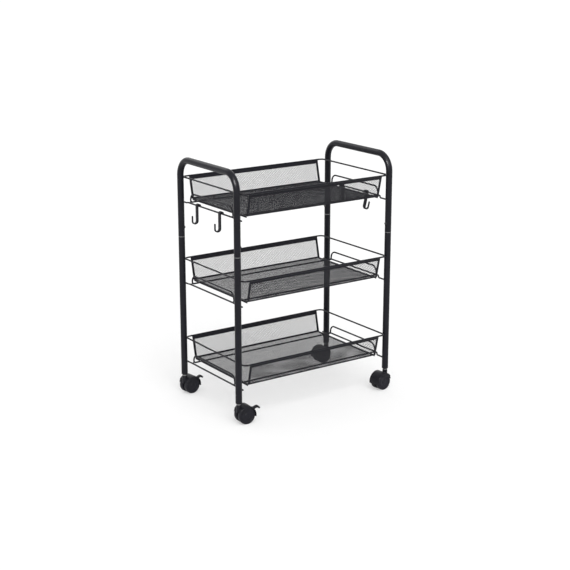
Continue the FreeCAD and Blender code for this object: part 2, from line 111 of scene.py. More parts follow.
class Bench:
    """Hand tools for modelling one piece at a time."""

    @staticmethod
    def clear() -> None:
        """Leave edit mode and deselect every object."""
        if bpy.context.object and bpy.context.object.mode != "OBJECT":
            bpy.ops.object.mode_set(mode="OBJECT")
        bpy.ops.object.select_all(action="DESELECT")

    @staticmethod
    def hold(piece: Piece) -> None:
        """Make a piece the only selected one, and the active one.

        Args:
            piece: the object to hold.
        """
        Bench.clear()
        piece.select_set(True)
        bpy.context.view_layer.objects.active = piece

    @staticmethod
    def named(name: str) -> Piece:
        """Give the active object and its mesh a name.

        Args:
            name: the name.

        Returns:
            The active object.
        """
        piece = bpy.context.object
        piece.name = name
        piece.data.name = name
        return piece

    @staticmethod
    def discard(*pieces: Piece) -> None:
        """Remove pieces that were only patterns or tools."""
        for piece in pieces:
            bpy.data.objects.remove(piece)

    @staticmethod
    def open_all(piece: Piece) -> None:
        """Open edit mode on a piece, with all of it selected.

        Args:
            piece: the object to open.
        """
        Bench.hold(piece)
        bpy.ops.object.mode_set(mode="EDIT")
        bpy.ops.mesh.select_all(action="SELECT")

    @staticmethod
    def pick(piece: Piece, kind: Pick, wanted: Callable[[Vector, Vector], bool]) -> None:
        """Select part of a mesh by place, and open edit mode on it.

        Args:
            piece: the object to select on.
            kind: whether points, edges or faces are selected.
            wanted: a test of an element's middle and its direction (a normal, or an edge's line).
        """
        Bench.hold(piece)
        mesh = piece.data
        for group in (mesh.vertices, mesh.edges, mesh.polygons):
            group.foreach_set("select", [False] * len(group))
        if kind is Pick.FACE:
            for face in mesh.polygons:
                face.select = wanted(face.center, face.normal)
        elif kind is Pick.EDGE:
            for edge in mesh.edges:
                first, last = (mesh.vertices[i].co for i in edge.vertices)
                edge.select = wanted((first + last) / 2, (last - first).normalized())
        else:
            for point in mesh.vertices:
                point.select = wanted(point.co, point.normal)
        bpy.context.tool_settings.mesh_select_mode = kind.value
        bpy.ops.object.mode_set(mode="EDIT")

    @staticmethod
    def pick_all(piece: Piece, kind: Pick) -> None:
        """Select a whole mesh as points, edges or faces, and open edit mode on it."""
        Bench.pick(piece, kind, lambda middle, line: True)

    @staticmethod
    def shift(offset: Vector) -> None:
        """Extrude what is selected by an offset."""
        bpy.ops.mesh.extrude_region_move(TRANSFORM_OT_translate={"value": tuple(offset)})

    @staticmethod
    def modified(piece: Piece, kind: str, **settings: object) -> None:
        """Add a modifier, set it and apply it.

        Args:
            piece: the object that is modified.
            kind: the modifier's type.
            settings: the modifier's values, by name.
        """
        Bench.hold(piece)
        modifier = piece.modifiers.new(kind.lower(), kind)
        for key, value in settings.items():
            setattr(modifier, key, value)
        bpy.ops.object.modifier_apply(modifier=modifier.name)

    @staticmethod
    def cut_with(piece: Piece, tool: Piece, operation: str) -> None:
        """Join a tool to a piece, or cut it away, and remove the tool.

        Args:
            piece: the object that stays.
            tool: the object that is used up.
            operation: UNION or DIFFERENCE.
        """
        Bench.modified(piece, "BOOLEAN", object=tool, operation=operation, solver="EXACT")
        Bench.discard(tool)

    @staticmethod
    def rounded(piece: Piece, width: float, segments: int = 2, angle: float = 35.0) -> None:
        """Round the sharp edges of a piece.

        Args:
            piece: the object to round.
            width: the width of the rounding, in millimetres.
            segments: how many strips make the rounding.
            angle: edges sharper than this are rounded, in degrees.
        """
        Bench.modified(
            piece, "BEVEL", width=width * MM, segments=segments, limit_method="ANGLE",
            angle_limit=math.radians(angle), use_clamp_overlap=True,
        )

    @staticmethod
    def tidy(piece: Piece) -> None:
        """Merge doubled points, drop loose edges and turn every face outwards.

        Args:
            piece: the object to tidy.
        """
        Bench.pick_all(piece, Pick.POINT)
        bpy.ops.mesh.remove_doubles(threshold=MERGE)
        bpy.ops.mesh.delete_loose()
        bpy.ops.mesh.select_all(action="SELECT")
        bpy.ops.mesh.normals_make_consistent(inside=False)
        Bench.clear()

    @staticmethod
    def set_down(piece: Piece, matrix: Matrix) -> None:
        """Put a piece in its place, and leave the place in its mesh.

        Args:
            piece: the object to place.
            matrix: its place.
        """
        Bench.hold(piece)
        piece.matrix_world = matrix
        bpy.ops.object.transform_apply(location=True, rotation=True, scale=True)

    @staticmethod
    def copied(pattern: Piece, name: str, matrix: Matrix) -> Piece:
        """Copy a piece with a mesh of its own, and set the copy down.

        Args:
            pattern: the piece to copy.
            name: the copy's name.
            matrix: the copy's place.

        Returns:
            The copy.
        """
        Bench.hold(pattern)
        bpy.ops.object.duplicate(linked=False)
        piece = Bench.named(name)
        Bench.set_down(piece, matrix)
        return piece

    @staticmethod
    def joined(pieces: Sequence[Piece]) -> Piece:
        """Join pieces into one.

        Args:
            pieces: the objects to join.

        Returns:
            The first of them, which holds them all.
        """
        Bench.hold(pieces[0])
        for other in pieces[1:]:
            other.select_set(True)
        bpy.ops.object.join()
        return pieces[0]

    @staticmethod
    def plate(name: str, length: float, width: float, middle: Vector, tilt: float = 0.0) -> Piece:
        """Start a piece as a flat rectangle, and open edit mode with all of it selected.

        Args:
            name: the piece's name.
            length: its size along X before it is tilted, in millimetres.
            width: its size along Y, in millimetres.
            middle: its centre, in millimetres.
            tilt: its turn about Y, in radians.

        Returns:
            The new object.
        """
        Bench.clear()
        bpy.ops.mesh.primitive_plane_add(size=1, location=middle * MM, rotation=(0, tilt, 0))
        piece = Bench.named(name)
        piece.scale = (length * MM, width * MM, 1)
        bpy.ops.object.transform_apply(location=True, rotation=True, scale=True)
        Bench.open_all(piece)
        return piece

    @staticmethod
    def drum(name: str, radius: float, half_width: float, middle: Vector, sides: Sides) -> Piece:
        """Round bar along Y.

        Args:
            name: the piece's name.
            radius: its radius, in millimetres.
            half_width: half its length, in millimetres.
            middle: its centre, in millimetres.
            sides: how many flat sides make it round.

        Returns:
            The new object.
        """
        Bench.clear()
        bpy.ops.mesh.primitive_cylinder_add(
            vertices=sides, radius=radius * MM, depth=2 * half_width * MM,
            location=middle * MM, rotation=(math.pi / 2, 0, 0),
        )
        bpy.ops.object.transform_apply(location=True, rotation=True, scale=True)
        return Bench.named(name)

    @staticmethod
    def outlined(name: str, outline: Outline) -> Piece:
        """Draw a closed line of edges in the XY plane.

        Args:
            name: the piece's name.
            outline: the line's points, each a radius and a place along Y, in millimetres.

        Returns:
            The new object.
        """
        Bench.clear()
        bpy.ops.mesh.primitive_plane_add(size=1)
        piece = Bench.named(name)
        bpy.context.tool_settings.mesh_select_mode = Pick.POINT.value
        Bench.open_all(piece)
        bpy.ops.mesh.merge(type="CENTER")
        points = [Vector((radius, along, 0)) * MM for radius, along in outline]
        bpy.ops.transform.translate(value=points[0])
        for before, after in zip(points, points[1:] + points[:1]):
            Bench.shift(after - before)
        bpy.ops.mesh.select_all(action="SELECT")
        bpy.ops.mesh.remove_doubles(threshold=MERGE)
        Bench.clear()
        return piece

    @staticmethod
    def turned(name: str, outline: Outline, steps: Sides) -> Piece:
        """Turn an outline round the Y axis, as on a lathe.

        Args:
            name: the piece's name.
            outline: closed line of points, each a radius and a place along Y, in millimetres.
            steps: how many steps make the full turn.

        Returns:
            The new object.
        """
        piece = Bench.outlined(name, outline)
        Bench.open_all(piece)
        bpy.ops.mesh.spin(steps=steps, angle=math.tau, center=(0, 0, 0), axis=(0, 1, 0))
        Bench.tidy(piece)
        return piece

    @staticmethod
    def smooth(piece: Piece, angle: float = 35.0) -> Piece:
        """Shade a piece smooth, apart from its sharp edges.

        Args:
            piece: the object to shade.
            angle: edges sharper than this stay sharp, in degrees.

        Returns:
            The same object.
        """
        Bench.hold(piece)
        bpy.ops.object.shade_smooth_by_angle(angle=math.radians(angle))
        return piece


class Wiring:
    """Short ways to place and join shader nodes."""

    # sockets of a Mix node that mixes colours
    MIX_SHARE = 0
    MIX_FIRST = 6
    MIX_SECOND = 7
    MIX_RESULT = 2

    @staticmethod
    def material(name: str) -> tuple[Material, Tree, Node]:
        """Start a material.

        Args:
            name: the material's name.

        Returns:
            The material, its node tree and its Principled shader.
        """
        material = bpy.data.materials.new(name)
        material.use_nodes = True
        return material, material.node_tree, material.node_tree.nodes["Principled BSDF"]

    @staticmethod
    def add(tree: Tree, kind: str, **values: object) -> Node:
        """Place a node and set its values.

        Args:
            tree: the node tree that it goes into.
            kind: the node's type.
            values: attributes of the node, by name.

        Returns:
            The new node.
        """
        node = tree.nodes.new(kind)
        for key, value in values.items():
            setattr(node, key, value)
        return node

    @staticmethod
    def noise(tree: Tree, detail: float) -> Node:
        """Place a noise texture on object coordinates, whose scale is still to be set or joined.

        Args:
            tree: the node tree that it goes into.
            detail: how fine the noise breaks up.

        Returns:
            The new node.
        """
        place = Wiring.add(tree, "ShaderNodeTexCoord")
        noise = Wiring.add(tree, "ShaderNodeTexNoise")
        noise.inputs["Detail"].default_value = detail
        tree.links.new(place.outputs["Object"], noise.inputs["Vector"])
        return noise

    @staticmethod
    def spread(tree: Tree, value: Socket, low: float, high: float) -> Node:
        """Stretch a value between two levels to the whole range from 0 to 1.

        Args:
            tree: the node tree.
            value: the value.
            low: the level that becomes 0.
            high: the level that becomes 1.

        Returns:
            The new node.
        """
        node = Wiring.add(tree, "ShaderNodeMapRange")
        node.inputs["From Min"].default_value = low
        node.inputs["From Max"].default_value = high
        tree.links.new(value, node.inputs["Value"])
        return node

    @staticmethod
    def combined(tree: Tree, operation: str, first: Socket, second: Socket) -> Socket:
        """Work out a value from two others.

        Args:
            tree: the node tree.
            operation: what is done with them.
            first: one value.
            second: the other value.

        Returns:
            The result's socket.
        """
        node = Wiring.add(tree, "ShaderNodeMath", operation=operation)
        tree.links.new(first, node.inputs[0])
        tree.links.new(second, node.inputs[1])
        return node.outputs[0]

    @staticmethod
    def mixed(tree: Tree, share: Socket, first: Socket, second: Socket) -> Socket:
        """Mix two colours.

        Args:
            tree: the node tree.
            share: how much of the second colour there is.
            first: one colour.
            second: the other colour.

        Returns:
            The mixed colour's socket.
        """
        node = Wiring.add(tree, "ShaderNodeMix", data_type="RGBA")
        tree.links.new(share, node.inputs[Wiring.MIX_SHARE])
        tree.links.new(first, node.inputs[Wiring.MIX_FIRST])
        tree.links.new(second, node.inputs[Wiring.MIX_SECOND])
        return node.outputs[Wiring.MIX_RESULT]

    @staticmethod
    def raised(tree: Tree, height: Socket, strength: float, depth: float) -> None:
        """Raise a material's surface by a height.

        Args:
            tree: the material's node tree.
            height: the height, from 0 to 1.
            strength: how strongly it shows.
            depth: what the whole range of the height stands for, in millimetres.
        """
        bump = Wiring.add(tree, "ShaderNodeBump")
        bump.inputs["Strength"].default_value = strength
        bump.inputs["Distance"].default_value = depth * MM
        tree.links.new(height, bump.inputs["Height"])
        tree.links.new(bump.outputs["Normal"], tree.nodes["Principled BSDF"].inputs["Normal"])

    @staticmethod
    def group(name: str, inputs: dict[str, str], outputs: dict[str, str]) -> tuple[Tree, Node, Node]:
        """Start a shader node group.

        Args:
            name: the group's name.
            inputs: socket types by socket name.
            outputs: socket types by socket name.

        Returns:
            The group's tree, its input node and its output node.
        """
        tree = bpy.data.node_groups.new(name, "ShaderNodeTree")
        for way, sockets in (("INPUT", inputs), ("OUTPUT", outputs)):
            for socket, kind in sockets.items():
                tree.interface.new_socket(socket, in_out=way, socket_type="NodeSocket" + kind)
        return tree, tree.nodes.new("NodeGroupInput"), tree.nodes.new("NodeGroupOutput")

    @staticmethod
    def placed(tree: Tree, group: Tree, **values: object) -> Node:
        """Place a node group and set its inputs.

        Args:
            tree: the node tree that it goes into.
            group: the group's tree.
            values: the inputs' values, by name, with _ for a space.

        Returns:
            The new node.
        """
        node = Wiring.add(tree, "ShaderNodeGroup", node_tree=group)
        for key, value in values.items():
            node.inputs[key.replace("_", " ")].default_value = value
        return node


class Effects:
    """Surface effects that the finishes use, each built once."""

    @staticmethod
    @functools.cache
    def grain() -> Tree:
        """Fine grain of a coat or a moulding: a mottled colour, an uneven gloss and a height.

        Returns:
            The effect's node group.
        """
        tree, given, result = Wiring.group(
            "surface_grain",
            {
                "Dark": "Color", "Light": "Color", "Mottle Scale": "Float", "Grain Scale": "Float",
                "Gloss Low": "Float", "Gloss High": "Float",
            },
            {"Colour": "Color", "Roughness": "Float", "Height": "Float"},
        )
        link = tree.links.new
        mottle = Wiring.noise(tree, detail=4.0)
        grain = Wiring.noise(tree, detail=2.0)
        link(given.outputs["Mottle Scale"], mottle.inputs["Scale"])
        link(given.outputs["Grain Scale"], grain.inputs["Scale"])
        share = Wiring.spread(tree, mottle.outputs["Fac"], low=0.32, high=0.68).outputs["Result"]
        colour = Wiring.mixed(tree, share, given.outputs["Dark"], given.outputs["Light"])
        gloss = Wiring.spread(tree, grain.outputs["Fac"], low=0.3, high=0.7)
        link(given.outputs["Gloss Low"], gloss.inputs["To Min"])
        link(given.outputs["Gloss High"], gloss.inputs["To Max"])
        link(colour, result.inputs["Colour"])
        link(gloss.outputs["Result"], result.inputs["Roughness"])
        link(grain.outputs["Fac"], result.inputs["Height"])
        return tree

    @staticmethod
    @functools.cache
    def dust() -> Tree:
        """A thin film of dust on faces that look up.

        Returns:
            The effect's node group.
        """
        tree, given, result = Wiring.group(
            "settled_dust", {"Colour": "Color", "Dust": "Color", "Amount": "Float"}, {"Colour": "Color"}
        )
        facing = Wiring.add(tree, "ShaderNodeNewGeometry")
        parts = Wiring.add(tree, "ShaderNodeSeparateXYZ")
        tree.links.new(facing.outputs["Normal"], parts.inputs["Vector"])
        upward = Wiring.spread(tree, parts.outputs["Z"], low=0.35, high=1.0).outputs["Result"]
        patch = Wiring.noise(tree, detail=5.0)
        patch.inputs["Scale"].default_value = 60.0
        film = Wiring.spread(tree, patch.outputs["Fac"], low=0.35, high=0.75).outputs["Result"]
        lying = Wiring.combined(tree, "MULTIPLY", upward, film)
        share = Wiring.combined(tree, "MULTIPLY", lying, given.outputs["Amount"])
        colour = Wiring.mixed(tree, share, given.outputs["Colour"], given.outputs["Dust"])
        tree.links.new(colour, result.inputs["Colour"])
        return tree

    @staticmethod
    @functools.cache
    def streaks() -> Tree:
        """Fine turned streaks round an upright axis, as a colour and a height.

        Returns:
            The effect's node group.
        """
        tree, given, result = Wiring.group(
            "turned_streaks", {"Dark": "Color", "Light": "Color", "Scale": "Float"},
            {"Colour": "Color", "Height": "Float"},
        )
        link = tree.links.new
        noise = Wiring.noise(tree, detail=2.0)
        stretch = Wiring.add(tree, "ShaderNodeMapping")
        stretch.inputs["Scale"].default_value = (0.05, 0.05, 1.0)
        link(noise.inputs["Vector"].links[0].from_socket, stretch.inputs["Vector"])
        link(stretch.outputs["Vector"], noise.inputs["Vector"])
        link(given.outputs["Scale"], noise.inputs["Scale"])
        colour = Wiring.mixed(tree, noise.outputs["Fac"], given.outputs["Dark"], given.outputs["Light"])
        link(colour, result.inputs["Colour"])
        link(noise.outputs["Fac"], result.inputs["Height"])
        return tree


def grey(level: float, tint: float = 1.0) -> Colour:
    """A grey with a little more or less blue."""
    return (level, level, level * tint, 1.0)


@dataclass(frozen=True)
class CoatFinish:
    """Opaque finish with a fine grain: powder coat or moulded plastic.

    Scales are in cycles per metre, and the grain's depth is in millimetres.
    """

    name: str
    dark: Colour
    light: Colour
    gloss: tuple[float, float]
    specular: float
    grain_scale: float
    grain_depth: float
    mottle_scale: float
    dust: float
    dust_colour: Colour = (0.20, 0.20, 0.21, 1.0)
    grain_strength: float = 0.5

    @functools.cache
    def material(self) -> Material:
        """The finish as a material, made once.

        Returns:
            The material.
        """
        material, tree, shader = Wiring.material(self.name)
        shader.inputs["Specular IOR Level"].default_value = self.specular
        grain = Wiring.placed(
            tree, Effects.grain(), Dark=self.dark, Light=self.light, Mottle_Scale=self.mottle_scale,
            Grain_Scale=self.grain_scale, Gloss_Low=self.gloss[0], Gloss_High=self.gloss[1],
        )
        film = Wiring.placed(tree, Effects.dust(), Dust=self.dust_colour, Amount=self.dust)
        tree.links.new(grain.outputs["Colour"], film.inputs["Colour"])
        tree.links.new(film.outputs["Colour"], shader.inputs["Base Color"])
        tree.links.new(grain.outputs["Roughness"], shader.inputs["Roughness"])
        Wiring.raised(tree, grain.outputs["Height"], self.grain_strength, self.grain_depth)
        return material


@dataclass(frozen=True)
class PlateFinish:
    """Bright zinc plate on turned steel.

    The streaks' scale is in cycles per metre, and their depth in millimetres.
    """

    name: str
    dark: Colour
    light: Colour
    roughness: float
    streak_scale: float
    streak_depth: float = 0.02
    streak_strength: float = 0.3

    @functools.cache
    def material(self) -> Material:
        """The finish as a material, made once.

        Returns:
            The material.
        """
        material, tree, shader = Wiring.material(self.name)
        shader.inputs["Metallic"].default_value = 1.0
        shader.inputs["Roughness"].default_value = self.roughness
        streaks = Wiring.placed(
            tree, Effects.streaks(), Dark=self.dark, Light=self.light, Scale=self.streak_scale
        )
        tree.links.new(streaks.outputs["Colour"], shader.inputs["Base Color"])
        Wiring.raised(tree, streaks.outputs["Height"], self.streak_strength, self.streak_depth)
        return material


POWDER_COAT = CoatFinish(
    "satin_powder_coat", dark=grey(0.0060, 1.5), light=grey(0.0092, 1.5), gloss=(0.24, 0.36), specular=0.16,
    grain_scale=1500.0, grain_depth=0.03, mottle_scale=40.0, dust=0.05,
)
FINISHES: dict[str, CoatFinish | PlateFinish] = {
    "black_powder_coat": POWDER_COAT,
    "black_mesh": CoatFinish(
        "coated_net", dark=grey(0.007, 1.4), light=grey(0.011, 1.4), gloss=(0.42, 0.56), specular=0.14,
        grain_scale=1500.0, grain_depth=0.02, mottle_scale=60.0, dust=0.05,
    ),
    "black_plastic": CoatFinish(
        "plug_plastic", dark=grey(0.007, 1.1), light=grey(0.010, 1.1), gloss=(0.4, 0.55), specular=0.25,
        grain_scale=2600.0, grain_depth=0.02, mottle_scale=90.0, dust=0.03,
    ),
    "black_screw": CoatFinish(
        "blacked_screw", dark=grey(0.010, 1.05), light=grey(0.018, 1.05), gloss=(0.3, 0.42), specular=0.5,
        grain_scale=2200.0, grain_depth=0.01, mottle_scale=200.0, dust=0.03,
    ),
    "plated_steel": PlateFinish(
        "zinc_plate", dark=(0.18, 0.18, 0.185, 1.0), light=grey(0.32), roughness=0.32, streak_scale=1800.0
    ),
    "caster_plastic": CoatFinish(
        "caster_moulding", dark=grey(0.0050, 1.5), light=grey(0.0080, 1.5), gloss=(0.36, 0.50), specular=0.17,
        grain_scale=2400.0, grain_depth=0.025, mottle_scale=70.0, dust=0.04,
    ),
    "wheel_plastic": CoatFinish(
        "wheel_moulding", dark=grey(0.0066, 1.5), light=grey(0.0102, 1.5), gloss=(0.40, 0.55), specular=0.17,
        grain_scale=2400.0, grain_depth=0.02, mottle_scale=90.0, dust=0.04,
    ),
    "hook_coat": replace(POWDER_COAT, name="hook_powder_coat", dust=0.04),
}


def dressed(piece: Piece, body: str, slot: str, node: str) -> None:
    """Give a new piece its finish, its body and the node that it stands for.

    Args:
        piece: the new object, in its place.
        body: the CAD body that it moves with.
        slot: the material slot of the record.
        node: the CAD node that it replaces.
    """
    piece.data.materials.clear()
    piece.data.materials.append(FINISHES[slot].material())
    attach(piece, body)
    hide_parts(node)
    log.info("%s: %d faces on %s", piece.name, len(piece.data.polygons), body)


@dataclass
class Net:
    """Sheet of expanded steel: a flat lattice of diamonds. Sizes are in millimetres."""

    length: float
    width: float
    columns: int
    rows: int
    strand: float
    flatness: float
    border: float = 0.1
    straight: float = 0.9999

    def build(self, name: str) -> Piece:
        """Model the lattice flat round the origin.

        Args:
            name: the piece's name.

        Returns:
            The new object.
        """
        Bench.clear()
        bpy.ops.mesh.primitive_grid_add(x_subdivisions=self.columns, y_subdivisions=self.rows, size=1)
        piece = Bench.named(name)
        piece.scale = (self.length * MM, self.width * MM, 1)
        bpy.ops.object.transform_apply(location=False, rotation=False, scale=True)
        Bench.open_all(piece)
        bpy.ops.mesh.poke()
        Bench.clear()
        Bench.pick(piece, Pick.EDGE, self.across_cells)
        bpy.ops.mesh.dissolve_edges(use_verts=False)
        Bench.modified(
            piece, "WIREFRAME", thickness=self.strand * MM, use_replace=True, use_boundary=True,
            use_even_offset=False, use_relative_offset=False,
        )
        Bench.pick_all(piece, Pick.POINT)
        bpy.ops.transform.resize(value=(1, 1, self.flatness), center_override=(0, 0, 0))
        Bench.clear()
        return piece

    def across_cells(self, middle: Vector, line: Vector) -> bool:
        """Tell the sides of the cells, which are taken out, from the diamonds.

        Args:
            middle: the edge's middle.
            line: the edge's direction.

        Returns:
            Whether an edge runs along the sheet or across it, inside its border.
        """
        along = max(abs(line.x), abs(line.y)) > self.straight
        inside_x = abs(middle.x) < (self.length / 2 - self.border) * MM
        inside_y = abs(middle.y) < (self.width / 2 - self.border) * MM
        return along and inside_x and inside_y


@dataclass
class BasketNets:
    """Floor and wall nets of the three baskets. Sizes are in millimetres and degrees."""

    floor_columns: int = 53
    floor_rows: int = 57
    floor_strand: float = 0.88
    floor_flatness: float = 0.78
    wall_columns: int = 57
    wall_rows: int = 11
    wall_strand: float = 1.16
    wall_flatness: float = 0.7
    wall_sheet: float = 0.8
    lean: float = 12.8
    hem: float = 4.0
    hem_edge: float = 0.3
    overlap: float = 0.5
    lip: float = 4.6
    sheet: float = 1.0
    rod_from: float = 90.0
    rod_to: float = 98.0

    def build(self) -> None:
        """Model one floor and one wall, and copy them to every basket."""
        floor = self.floor("floor_pattern")
        wall = self.wall("wall_pattern")
        for tier in Tier:
            self.place_floor(floor, tier)
            for side in Wall:
                self.place_wall(wall, tier, side)
        Bench.discard(floor, wall)

    def floor(self, name: str) -> Piece:
        """Model a floor flat round the origin, its top at height 0.

        Args:
            name: the piece's name.

        Returns:
            The new object.
        """
        low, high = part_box("top_floor_mesh")
        size = (high - low) / MM
        piece = Bench.plate(name, size.x, size.y, Vector())
        bpy.ops.mesh.inset(thickness=self.hem * MM, depth=0)
        bpy.ops.mesh.delete(type="FACE")
        for place in (-self.rod_to, -self.rod_from, self.rod_from, self.rod_to):
            bpy.ops.mesh.select_all(action="SELECT")
            bpy.ops.mesh.bisect(plane_co=(0, place * MM, 0), plane_no=(0, 1, 0))
        Bench.pick(piece, Pick.EDGE, lambda middle, line: self.free_end(middle, size.x / 2))
        Bench.shift(Vector((0, 0, -self.lip * MM)))
        Bench.tidy(piece)
        Bench.modified(piece, "SOLIDIFY", thickness=self.sheet * MM, offset=-1.0, use_even_offset=True)
        Bench.rounded(piece, self.hem_edge)
        taken = 2 * (self.hem - self.overlap)
        inner = Net(
            size.x - taken, size.y - taken, self.floor_columns, self.floor_rows, self.floor_strand,
            self.floor_flatness,
        ).build("floor_lattice")
        Bench.set_down(inner, Matrix.Translation((0, 0, -self.sheet * MM / 2)))
        return Bench.joined([piece, inner])

    def free_end(self, middle: Vector, half: float) -> bool:
        """Tell which edges of the hem are turned down.

        Args:
            middle: the edge's middle.
            half: half the floor's length, in millimetres.

        Returns:
            Whether an edge is at an end of the floor and clear of the rods below.
        """
        at_end = abs(abs(middle.x) - half * MM) < SAME_PLACE
        over_rod = self.rod_from * MM < abs(middle.y) < self.rod_to * MM
        return at_end and not over_rod

    def wall(self, name: str) -> Piece:
        """Model a wall net flat round the origin.

        Args:
            name: the piece's name.

        Returns:
            The new object.
        """
        low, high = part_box("top_front_mesh")
        slope = math.radians(self.lean)
        height = ((high.z - low.z) / MM - self.wall_sheet * math.sin(slope)) / math.cos(slope)
        length = (high.x - low.x) / MM
        net = Net(length, height, self.wall_columns, self.wall_rows, self.wall_strand, self.wall_flatness)
        return net.build(name)

    def place_floor(self, pattern: Piece, tier: Tier) -> None:
        """Copy the floor into a basket.

        Args:
            pattern: the floor to copy.
            tier: the basket.
        """
        node = tier.value + "_floor_mesh"
        low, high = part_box(node)
        middle = (low + high) / 2
        place = Matrix.Translation((middle.x, middle.y, high.z))
        piece = Bench.copied(pattern, tier.value + "_floor_net", place)
        dressed(piece, "frame", "black_mesh", node)

    def place_wall(self, pattern: Piece, tier: Tier, side: Wall) -> None:
        """Copy the wall net into a basket's front or back.

        Args:
            pattern: the wall net to copy.
            tier: the basket.
            side: its front or its back.
        """
        word = tier.value + "_" + side.name.lower()
        low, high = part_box(word + "_mesh")
        tilt = Matrix.Rotation(math.pi / 2 - side.value * math.radians(self.lean), 4, "X")
        place = Matrix.Translation((low + high) / 2) @ tilt
        piece = Bench.copied(pattern, word + "_net", place)
        dressed(piece, "frame", "black_mesh", word + "_mesh")


WHEEL_OUTLINE: Outline = (
    # bore and hollow inner face
    (3.05, 3.3), (6.0, 3.3), (6.6, 3.9), (15.8, 3.9), (16.4, 3.3), (19.2, 3.3),
    # round tread
    (20.4, 3.8), (21, 5), (21, 12.6), (20.6, 13.9), (19.6, 14.6), (18.2, 14.8),
    # outer face, with its groove and its dish
    (16.4, 14.8), (16, 14.3), (15.2, 14.3), (14.8, 14.8), (13.6, 14.6), (7.2, 14.0),
    # hub cap, and the closed end of the bore
    (6.4, 14.7), (5.4, 14.8), (0, 14.8), (0, 13.2), (3.05, 13.2),
)


@dataclass
class Caster:
    """Twin-wheel swivel caster, modelled with its stem's axis at the origin and trailing to +X.

    Sizes are in millimetres and degrees, and angles are about the axle.
    """

    trail: float = 15.2
    axle_height: float = 21.0
    axle_hole: float = 3.05
    wheel_radius: float = 21.0
    shell_inner: float = 21.8
    shell_outer: float = 23.6
    shell_edge: float = 1.2
    shell_lip: float = 0.3
    shell_sag: float = 0.16
    half_width: float = 16.6
    lip_angle: float = -11.0
    neck_angle: float = 145.0
    band_steps: int = 48
    skirt: float = 1.2
    skirt_inset: float = 0.08
    skirt_sink: float = 0.7
    skirt_edge: float = 0.3
    skirt_angle: float = 116.6
    skirt_chord: float = 13.8
    trim_angle: float = 140.0
    web_half: float = 2.8
    web_sink: float = 0.9
    hub_radius: float = 6.0
    hub_proud: float = 0.02
    neck_radius: float = 6.2
    neck_rim: Outline = ((-0.6, 0.0), (-0.15, -0.2), (0.0, -0.7))
    neck_flare: float = 0.1
    neck_bottom: float = 28.0
    neck_top: float = 47.85
    bore_radius: float = 4.05
    bore_bottom: float = 40.35
    lever_angle: float = 26.0
    lever_radius: float = 24.6
    lug_radius: float = 2.5
    lug_end: float = 7.0
    lug_edge: float = 0.5
    slot_half: float = 4.0
    slot_room: float = 0.45
    pin_hole: float = 1.45
    cut_over: float = 1.0

    @property
    def axle(self) -> Vector:
        """The middle of the axle."""
        return Vector((self.trail, 0, self.axle_height))

    def around(self, radius: float, angle: float) -> Vector:
        """A point round the axle, by its radius and its angle."""
        turn = math.radians(angle)
        return self.axle + Vector((radius * math.cos(turn), 0, radius * math.sin(turn)))

    @property
    def lever_pivot(self) -> Vector:
        """The middle of the brake lever's hinge."""
        return self.around(self.lever_radius, self.lever_angle)

    def cut_flat(self, piece: Piece, point: Vector, angle: float) -> None:
        """Cut a piece on a flat plane, keep what lies along an angle from it, and close the cut.

        Args:
            piece: the object that is cut.
            point: a point of the plane.
            angle: the direction that is kept.
        """
        turn = math.radians(angle)
        across = (math.cos(turn), 0, math.sin(turn))
        Bench.pick_all(piece, Pick.FACE)
        bpy.ops.mesh.bisect(plane_co=point * MM, plane_no=across, use_fill=True, clear_inner=True)
        Bench.clear()

    def band(self) -> Piece:
        """Spin the rounded section of the shell over the wheels.

        Returns:
            The new object.
        """
        inner, outer, side = self.shell_inner, self.shell_outer, self.half_width
        lip, edge, sag = self.shell_lip, self.shell_edge, self.shell_sag
        half = edge / 2
        section = [
            (inner, -side + lip), (inner, side - lip), (inner + lip, side), (outer - edge, side),
            (outer - half, side - sag), (outer - sag, side - half), (outer, side - edge),
            (outer, -side + edge), (outer - sag, -side + half), (outer - half, -side + sag),
            (outer - edge, -side), (inner + lip, -side),
        ]
        piece = Bench.outlined("hood_band", section)
        Bench.open_all(piece)
        bpy.ops.mesh.edge_face_add()
        sweep = math.radians(self.neck_angle - self.lip_angle)
        bpy.ops.mesh.spin(steps=self.band_steps, angle=sweep, center=(0, 0, 0), axis=(0, 1, 0))
        Bench.tidy(piece)
        turn = Matrix.Rotation(-math.radians(self.lip_angle), 4, "Y")
        Bench.set_down(piece, Matrix.Translation(self.axle * MM) @ turn)
        return piece

    def skirt_plate(self, side: int) -> Piece:
        """Cheek at one side of the shell, cut on a slanting chord and trimmed along the wheel.

        Args:
            side: 1 or -1 along Y.

        Returns:
            The new object.
        """
        middle = self.axle + Vector((0, side * (self.half_width - self.skirt / 2 - self.skirt_inset), 0))
        radius = self.shell_outer - self.skirt_sink
        piece = Bench.drum("hood_cheek", radius, self.skirt / 2, middle, Sides.CHEEK)
        self.cut_flat(piece, self.around(self.skirt_chord, self.skirt_angle), self.skirt_angle)
        start = self.around(radius, self.trim_angle)
        spread = math.degrees(math.acos(self.skirt_chord / self.wheel_radius))
        run = self.around(self.wheel_radius, self.skirt_angle + spread) - start
        self.cut_flat(piece, start, math.degrees(math.atan2(run.x, -run.z)))
        Bench.tidy(piece)
        Bench.rounded(piece, self.skirt_edge)
        return piece

    def web(self) -> Piece:
        """Rib between the wheels, with the axle's hub.

        Returns:
            The new object.
        """
        radius = self.shell_inner + self.web_sink
        piece = Bench.drum("hood_web", radius, self.web_half, self.axle, Sides.SHELL)
        self.cut_flat(piece, self.axle, self.lip_angle + 90)
        self.cut_flat(piece, self.axle, self.neck_angle - 90)
        half = self.web_half + self.hub_proud
        Bench.cut_with(piece, Bench.drum("hood_hub", self.hub_radius, half, self.axle, Sides.NECK), "UNION")
        return piece

